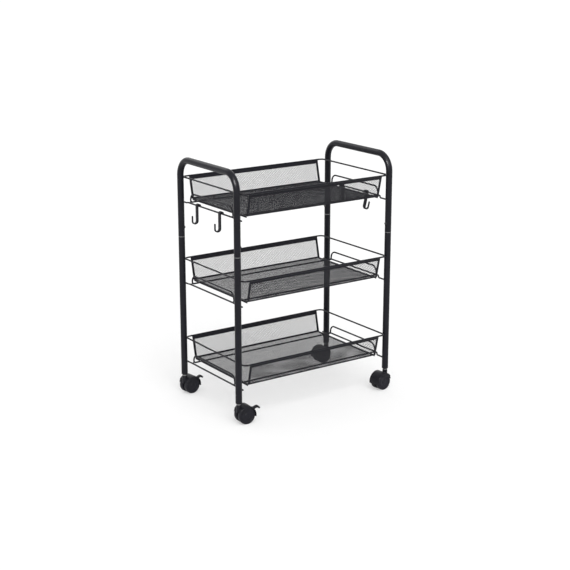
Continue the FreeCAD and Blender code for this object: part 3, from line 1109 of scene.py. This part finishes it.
    def neck(self) -> Piece:
        """Upright boss that takes the stem, cut clear of the wheels.

        Returns:
            The new object.
        """
        radius, top, bottom = self.neck_radius, self.neck_top, self.neck_bottom
        rim = [(radius + out, top + up) for out, up in self.neck_rim]
        outline = [(0, top), *rim, (radius + self.neck_flare, bottom), (0, bottom)]
        piece = Bench.turned("hood_neck", outline, Sides.NECK)
        Bench.set_down(piece, Matrix.Rotation(math.pi / 2, 4, "X"))
        Bench.tidy(piece)
        room = (self.half_width - self.skirt - self.web_half) / 2
        for side in (-1, 1):
            middle = self.axle + Vector((0, side * (self.web_half + room), 0))
            wheel_room = Bench.drum("wheel_room", self.shell_inner, room, middle, Sides.SHELL)
            Bench.cut_with(piece, wheel_room, "DIFFERENCE")
        return piece

    def stem_bore(self) -> Piece:
        """Upright bar that clears the neck for the stem.

        Returns:
            The new object.
        """
        half = (self.neck_top - self.bore_bottom + self.cut_over) / 2
        middle = Vector((0, self.bore_bottom + half, 0))
        piece = Bench.drum("stem_bore", self.bore_radius, half, middle, Sides.NECK)
        Bench.set_down(piece, Matrix.Rotation(math.pi / 2, 4, "X"))
        return piece

    def hood(self, braked: bool) -> Piece:
        """Model the whole hood.

        Args:
            braked: whether it carries a brake lever.

        Returns:
            The new object.
        """
        piece = self.band()
        for part in (self.skirt_plate(1), self.skirt_plate(-1), self.web(), self.neck()):
            Bench.cut_with(piece, part, "UNION")
        half = self.web_half + self.cut_over
        axle_bore = Bench.drum("axle_bore", self.axle_hole, half, self.axle, Sides.BAR)
        for bore in (self.stem_bore(), axle_bore):
            Bench.cut_with(piece, bore, "DIFFERENCE")
        if braked:
            pivot = self.lever_pivot
            lugs = Bench.drum("hood_lugs", self.lug_radius, self.lug_end, pivot, Sides.BAR)
            Bench.rounded(lugs, self.lug_edge)
            Bench.cut_with(piece, lugs, "UNION")
            slot_radius = self.lug_radius + self.slot_room
            slot = Bench.drum("hood_slot", slot_radius, self.slot_half, pivot, Sides.BAR)
            Bench.cut_with(piece, slot, "DIFFERENCE")
            hole = Bench.drum("hood_pin_hole", self.pin_hole, self.lug_end + self.cut_over, pivot, Sides.PIN)
            Bench.cut_with(piece, hole, "DIFFERENCE")
        return Bench.smooth(piece)

    def wheel(self, side: int) -> Piece:
        """Turn one wheel, with its round tread, grooved face and hub cap.

        Args:
            side: 1 or -1 along Y.

        Returns:
            The new object.
        """
        outline = [(radius, side * along) for radius, along in WHEEL_OUTLINE]
        piece = Bench.turned("caster_wheel", outline, Sides.WHEEL)
        Bench.set_down(piece, Matrix.Translation(self.axle * MM))
        return Bench.smooth(piece)


@dataclass
class BrakeLever:
    """Bent pedal hinged in a caster's hood. Sizes are in millimetres."""

    caster: Caster
    width: float = 7.0
    thickness: float = 5.2
    tip_share: float = 0.72
    knee_out: float = 11.2
    knee_up: float = 3.5
    knee_radius: float = 4.0
    knee_steps: int = 8
    tip_out: float = 18.4
    tip_up: float = -2.4
    tip_corner: float = 2.0
    tip_margin: float = 0.3
    corner_steps: int = 5
    edge: float = 0.55
    barrel_radius: float = 2.5
    barrel_edge: float = 0.3
    pin_radius: float = 1.4
    pin_end: float = 6.1

    def build(self) -> Piece:
        """Extrude and bend the pedal, and join its hinge.

        Returns:
            The new object.
        """
        pivot = self.caster.lever_pivot
        knee = Vector((self.knee_out, 0, self.knee_up))
        tip = Vector((self.tip_out, 0, self.tip_up))
        first = knee.normalized()
        second = (tip - knee).normalized()
        rise = math.atan2(first.z, first.x)
        turn = math.atan2(second.z, second.x) - rise
        taken = self.knee_radius * math.tan(abs(turn) / 2)
        piece = Bench.plate("brake_lever", self.thickness, self.width, pivot, math.pi / 2 - rise)
        Bench.shift(first * (knee.length - taken) * MM)
        below = Vector((first.z, 0, -first.x)) * self.knee_radius
        centre = (pivot + first * (knee.length - taken) + below) * MM
        bpy.ops.mesh.spin(steps=self.knee_steps, angle=turn, center=centre, axis=(0, 1, 0))
        Bench.shift(second * ((tip - knee).length - taken) * MM)
        end = (pivot + tip) * MM
        bpy.ops.transform.resize(value=(self.tip_share, 1, self.tip_share), center_override=end)
        Bench.tidy(piece)
        Bench.pick(piece, Pick.EDGE, lambda middle, line: self.at_corner(middle - end, line))
        bpy.ops.mesh.bevel(offset=self.tip_corner * MM, segments=self.corner_steps, affect="EDGES")
        Bench.clear()
        Bench.rounded(piece, self.edge, 3)
        barrel = Bench.drum("lever_barrel", self.barrel_radius, self.width / 2, pivot, Sides.BAR)
        Bench.rounded(barrel, self.barrel_edge)
        Bench.cut_with(piece, barrel, "UNION")
        pin = Bench.drum("lever_pin", self.pin_radius, self.pin_end, pivot, Sides.PIN)
        Bench.cut_with(piece, pin, "UNION")
        return Bench.smooth(piece)

    def at_corner(self, place: Vector, line: Vector) -> bool:
        """Tell the two short corners of the pedal's tip from its other edges.

        Args:
            place: the edge's middle, from the tip.
            line: the edge's direction.

        Returns:
            Whether the edge is one of the two.
        """
        beside = abs(abs(place.y) - self.width / 2 * MM) < SAME_PLACE
        at_end = math.hypot(place.x, place.z) < self.tip_margin * MM
        return beside and at_end and abs(line.y) < ACROSS


@dataclass
class HangingHook:
    """S-hook of flat bar about a rail at the origin, opening to +X. Sizes are in millimetres."""

    rail_radius: float = 2.0
    gap: float = 0.3
    thickness: float = 3.0
    width: float = 9.6
    prong_width: float = 3.6
    drop: float = 43.2
    mouth: float = 13.0
    tip_rise: float = 21.0
    tip_corner: float = 1.5
    corner_steps: int = 5
    curl_angle: float = 215.0
    curl_steps: int = 24
    bend_steps: int = 16
    ring_match: float = 0.9995
    edge: float = 0.45

    @property
    def reach(self) -> float:
        """How far the bar's middle stands from the rail's middle."""
        return self.rail_radius + self.gap + self.thickness / 2

    @property
    def bend(self) -> Vector:
        """The middle of the lower bend."""
        half = self.mouth / 2
        return Vector((self.reach + half, 0, self.thickness / 2 - self.drop + half))

    @property
    def tip_z(self) -> float:
        """The height of the prong's end."""
        return self.tip_rise - self.drop

    def build(self) -> Piece:
        """Bend the bar over the rail, down, and up into the prong.

        Returns:
            The new object.
        """
        piece = Bench.plate("hanging_hook", self.thickness, self.width, Vector((self.reach, 0, 0)))
        curl = math.radians(self.curl_angle)
        bpy.ops.mesh.spin(steps=self.curl_steps, angle=curl, center=(0, 0, 0), axis=(0, 1, 0))
        Bench.pick(piece, Pick.FACE, lambda middle, line: abs(middle.z) < SAME_PLACE and middle.x > 0)
        Bench.shift(Vector((0, 0, self.bend.z)) * MM)
        bpy.ops.mesh.spin(steps=self.bend_steps, angle=math.pi, center=self.bend * MM, axis=(0, 1, 0))
        Bench.shift(Vector((0, 0, self.tip_z - self.bend.z)) * MM)
        Bench.tidy(piece)
        self.narrow(piece)
        Bench.pick(piece, Pick.EDGE, lambda middle, line: abs(line.x) > ALONG and self.at_tip(middle))
        bpy.ops.mesh.bevel(offset=self.tip_corner * MM, segments=self.corner_steps, affect="EDGES")
        Bench.clear()
        Bench.rounded(piece, self.edge, 3)
        return Bench.smooth(piece)

    def narrow(self, piece: Piece) -> None:
        """Taper the bar's width from the stem to the prong, ring by ring.

        Args:
            piece: the hook.
        """
        share = self.prong_width / self.width
        centre = self.bend * MM
        for step in range(1, self.bend_steps + 1):
            turn = math.pi + step * math.pi / self.bend_steps
            ring = Vector((math.cos(turn), 0, math.sin(turn)))
            scale = 1 + (share - 1) * step / self.bend_steps
            Bench.pick(piece, Pick.POINT, lambda place, line: self.on_ring(place - centre, ring))
            bpy.ops.transform.resize(value=(1, scale, 1), center_override=(0, 0, 0))
        Bench.pick(piece, Pick.POINT, lambda place, line: self.at_tip(place))
        bpy.ops.transform.resize(value=(1, share, 1), center_override=(0, 0, 0))
        Bench.clear()

    def on_ring(self, place: Vector, ring: Vector) -> bool:
        """Tell the points of one of the bend's rings from the others.

        Args:
            place: the point, from the bend's centre.
            ring: the ring's direction from there.

        Returns:
            Whether the point lies on the ring.
        """
        flat = Vector((place.x, 0, place.z))
        near = flat.length < (self.mouth / 2 + self.thickness) * MM
        return near and flat.normalized().dot(ring) > self.ring_match

    def at_tip(self, place: Vector) -> bool:
        """Whether a place is at the prong's end."""
        return abs(place.z - self.tip_z * MM) < SAME_PLACE and place.x > self.reach * 2 * MM


@dataclass
class CouplerScrew:
    """Button-head screw with a hexagon socket, along +Y from its seat. Sizes are in millimetres."""

    head_radius: float = 3.4
    head_height: float = 2.2
    head_edge: float = 0.12
    head_side: float = 0.5
    dome: Outline = ((0, 0), (1.7, 0), (2.3, 0.2), (2.8, 0.6), (3.15, 1.1))
    socket_radius: float = 1.4
    socket_depth: float = 1.2
    shank_radius: float = 1.9
    shank_length: float = 6.0

    def build(self) -> Piece:
        """Turn the screw and sink its socket.

        Returns:
            The new object.
        """
        wide, high, edge = self.head_radius, self.head_height, self.head_edge
        outline = [(radius, high - fall) for radius, fall in self.dome]
        outline += [
            (wide, self.head_side), (wide, edge), (wide - edge, 0), (self.shank_radius, 0),
            (self.shank_radius, -self.shank_length), (0, -self.shank_length),
        ]
        piece = Bench.turned("coupler_screw", outline, Sides.SCREW)
        middle = Vector((0, high, 0))
        socket = Bench.drum("screw_socket", self.socket_radius, self.socket_depth, middle, Sides.HEXAGON)
        Bench.cut_with(piece, socket, "DIFFERENCE")
        return Bench.smooth(piece)


@dataclass
class RunningGear:
    """The four casters, set under the posts as the frame's joints say."""

    caster: Caster
    lever: BrakeLever

    def build(self) -> None:
        """Model each caster piece once, and copy it to every corner."""
        plain = self.caster.hood(False)
        braked = self.caster.hood(True)
        pedal = self.lever.build()
        wheels = {side: self.caster.wheel(side) for side in (-1, 1)}
        for corner in CORNERS:
            place = self.place(corner)
            held = corner.endswith("left")
            hood = Bench.copied(braked if held else plain, corner + "_hood", place)
            dressed(hood, corner + "_caster", "caster_plastic", corner + "_caster_hood")
            for word in ("outer", "inner"):
                node = corner + "_" + word + "_wheel"
                wheel = Bench.copied(wheels[self.wheel_side(node)], node + "_turned", place)
                dressed(wheel, node, "wheel_plastic", node)
            if held:
                node = corner + "_brake_lever"
                dressed(Bench.copied(pedal, node + "_pedal", place), node, "caster_plastic", node)
        Bench.discard(plain, braked, pedal, *wheels.values())

    def place(self, corner: str) -> Matrix:
        """Find where a caster stands and which way it trails.

        Args:
            corner: the caster's corner.

        Returns:
            The caster's place.
        """
        stem = Vector(JOINTS[corner + "_swivel"]["pos_m"])
        axis = JOINTS[corner + "_outer_wheel_spin"]["axis"]
        turn = Matrix.Rotation(math.atan2(-axis[0], axis[1]), 4, "Z")
        return Matrix.Translation((stem.x, stem.y, 0)) @ turn

    def wheel_side(self, node: str) -> int:
        """Find on which side of its caster a wheel sits.

        Args:
            node: the wheel's node.

        Returns:
            1 or -1 along the axle.
        """
        joint = JOINTS[node + "_spin"]
        low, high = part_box(node)
        offset = (low + high) / 2 - Vector(joint["pos_m"])
        return 1 if offset.dot(Vector(joint["axis"])) > 0 else -1


@dataclass
class HookSet:
    """The hooks on the top basket's rails, some of them swung a little, in degrees."""

    hook: HangingHook
    swings: dict[str, float]

    def build(self) -> None:
        """Model one hook, and hang a copy at each place."""
        pattern = self.hook.build()
        for node, swing in self.swings.items():
            joint = JOINTS[node + "_swing"]
            turn = Matrix.Rotation(math.radians(swing), 4, "Y")
            if joint["pos_m"][0] < 0:
                turn = Matrix.Rotation(math.pi, 4, "Z") @ turn
            place = Matrix.Translation(joint["pos_m"]) @ turn
            dressed(Bench.copied(pattern, node + "_bent", place), node, "hook_coat", node)
        Bench.discard(pattern)


@dataclass
class TubeFrame:
    """The tubes, wires and strips that keep their CAD shape, and the screws at the seams."""

    screw: CouplerScrew
    screw_inset: float = 8.05

    def build(self) -> None:
        """Set the four screws, and give every other node its finish."""
        self.set_screws()
        for piece in frame["record"]["subparts"]:
            node = frame["nodes"][piece["node"]]
            node.data.materials.clear()
            node.data.materials.append(FINISHES[piece["material_slot"]].material())
            if not node.hide_render:
                log.info("%s: finish %s", node.name, piece["material_slot"])

    def set_screws(self) -> None:
        """Copy the screw to the inner side of each post, and join the copies."""
        pattern = self.screw.build()
        low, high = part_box("coupler_screws")
        height = (low.z + high.z) / 2
        copies = []
        for corner in CORNERS:
            post = Vector(JOINTS[corner + "_swivel"]["pos_m"])
            side = 1 if post.x > 0 else -1
            spot = Vector((post.x - side * self.screw_inset * MM, post.y, height))
            turn = Matrix.Rotation(side * math.pi / 2, 4, "Z")
            copies.append(Bench.copied(pattern, corner + "_screw", Matrix.Translation(spot) @ turn))
        Bench.joined(copies)
        dressed(Bench.named("button_screws"), "frame", "black_screw", "coupler_screws")
        Bench.discard(pattern)


@dataclass(frozen=True)
class SoftBox:
    """Square lamp that shows only in highlights. Lengths are in metres."""

    name: str
    power: float
    size: float
    place: Place
    aim: Place

    def hang(self) -> None:
        """Set the lamp in its place, and turn it to its aim."""
        turn = (Vector(self.place) - Vector(self.aim)).to_track_quat("Z", "Y").to_euler()
        bpy.ops.object.light_add(type="AREA", location=self.place, rotation=turn)
        lamp = bpy.context.object
        lamp.name = self.name
        lamp.data.energy = self.power
        lamp.data.size = self.size
        lamp.visible_diffuse = False


SOFT_BOXES = (
    SoftBox("side_box", power=110.0, size=0.5, place=(-2.0, -1.2, 1.9), aim=(0.0, 0.0, 0.45)),
    SoftBox("back_box", power=6.0, size=1.3, place=(-0.25, 1.75, 1.85), aim=(0.0, 0.0, 0.6)),
)


@dataclass
class Studio:
    """Pale floor, soft light and the camera. Lengths are in metres, angles in degrees."""

    floor_size: float = 70.0
    floor_drop: float = 0.0002
    floor_level: float = 0.96
    floor_mottle: float = 0.01
    floor_mottle_scale: float = 3.0
    floor_roughness: float = 0.8
    floor_specular: float = 0.1
    floor_white: float = 0.42
    sky: float = 0.74
    key: float = 1.8
    key_spread: float = 50.0
    key_turn: Place = (38.0, -24.0, 10.0)
    sensor: float = 36.0
    lens: float = 81.70
    yaw: float = 34.736
    pitch: float = 15.699
    eye: Place = (-1.75484, -2.52876, 1.14092)
    far: float = 100.0

    def build(self) -> None:
        """Lay the floor, light the scene and set the camera."""
        self.lay_floor()
        self.light()
        self.light_sky()
        self.set_camera()

    def lay_floor(self) -> None:
        """Add a large pale floor just under the wheels."""
        Bench.clear()
        bpy.ops.mesh.primitive_plane_add(size=self.floor_size, location=(0, 0, -self.floor_drop))
        floor = Bench.named("studio_floor")
        material, tree, shader = Wiring.material("studio_paper")
        link = tree.links.new
        shader.inputs["Roughness"].default_value = self.floor_roughness
        shader.inputs["Specular IOR Level"].default_value = self.floor_specular
        level = self.floor_level
        grain = Wiring.placed(
            tree, Effects.grain(), Dark=grey(level), Light=grey(level + self.floor_mottle),
            Mottle_Scale=self.floor_mottle_scale,
        )
        link(grain.outputs["Colour"], shader.inputs["Base Color"])
        white = Wiring.add(tree, "ShaderNodeEmission")
        share = Wiring.add(tree, "ShaderNodeMath", operation="MULTIPLY")
        share.inputs[1].default_value = self.floor_white
        link(self.seen_rays(tree), share.inputs[0])
        blend = Wiring.add(tree, "ShaderNodeMixShader")
        link(share.outputs[0], blend.inputs[0])
        link(shader.outputs["BSDF"], blend.inputs[1])
        link(white.outputs["Emission"], blend.inputs[2])
        link(blend.outputs["Shader"], tree.nodes["Material Output"].inputs["Surface"])
        floor.data.materials.append(material)

    def light(self) -> None:
        """Set a soft key from the front left, and the lamps for the highlights."""
        Bench.clear()
        turn = tuple(math.radians(angle) for angle in self.key_turn)
        bpy.ops.object.light_add(type="SUN", rotation=turn)
        key = bpy.context.object
        key.name = "soft_key"
        key.data.energy = self.key
        key.data.angle = math.radians(self.key_spread)
        for box in SOFT_BOXES:
            box.hang()

    def light_sky(self) -> None:
        """Add an even sky that looks white to the camera."""
        world = bpy.data.worlds.new("studio_sky")
        bpy.context.scene.world = world
        world.use_nodes = True
        tree = world.node_tree
        sky = tree.nodes["Background"]
        sky.inputs["Color"].default_value = (1, 1, 1, 1)
        level = Wiring.add(tree, "ShaderNodeMapRange")
        level.inputs["To Min"].default_value = self.sky
        level.inputs["To Max"].default_value = 1.0
        tree.links.new(self.seen_rays(tree), level.inputs["Value"])
        tree.links.new(level.outputs["Result"], sky.inputs["Strength"])

    def seen_rays(self, tree: Tree) -> Socket:
        """Tell the rays that show a background from those that light the scene.

        Args:
            tree: the node tree of the floor or the sky.

        Returns:
            A socket that is 1 for camera, glossy and transmission rays.
        """
        rays = Wiring.add(tree, "ShaderNodeLightPath").outputs
        seen = Wiring.combined(tree, "MAXIMUM", rays["Is Camera Ray"], rays["Is Glossy Ray"])
        return Wiring.combined(tree, "MAXIMUM", seen, rays["Is Transmission Ray"])

    def set_camera(self) -> None:
        """Stand the camera where the photograph was taken from."""
        Bench.clear()
        turn = (math.radians(90 - self.pitch), 0, -math.radians(self.yaw))
        bpy.ops.object.camera_add(location=self.eye, rotation=turn)
        camera = bpy.context.object
        camera.name = "photo_camera"
        camera.data.sensor_width = self.sensor
        camera.data.lens = self.lens
        camera.data.clip_end = self.far
        bpy.context.scene.camera = camera
        bpy.context.scene.view_settings.view_transform = "Standard"


def main() -> None:
    """Build every piece of the cart and the studio round it."""
    logging.basicConfig(level=logging.INFO, format="%(message)s")
    BasketNets().build()
    caster = Caster()
    RunningGear(caster, BrakeLever(caster)).build()
    swings = {"left_front_hook": 0.0, "left_back_hook": 0.0, "right_front_hook": 14.0, "right_back_hook": 0.0}
    HookSet(HangingHook(), swings).build()
    TubeFrame(CouplerScrew()).build()
    Studio().build()
    Bench.clear()


if __name__ == "__main__":
    main()
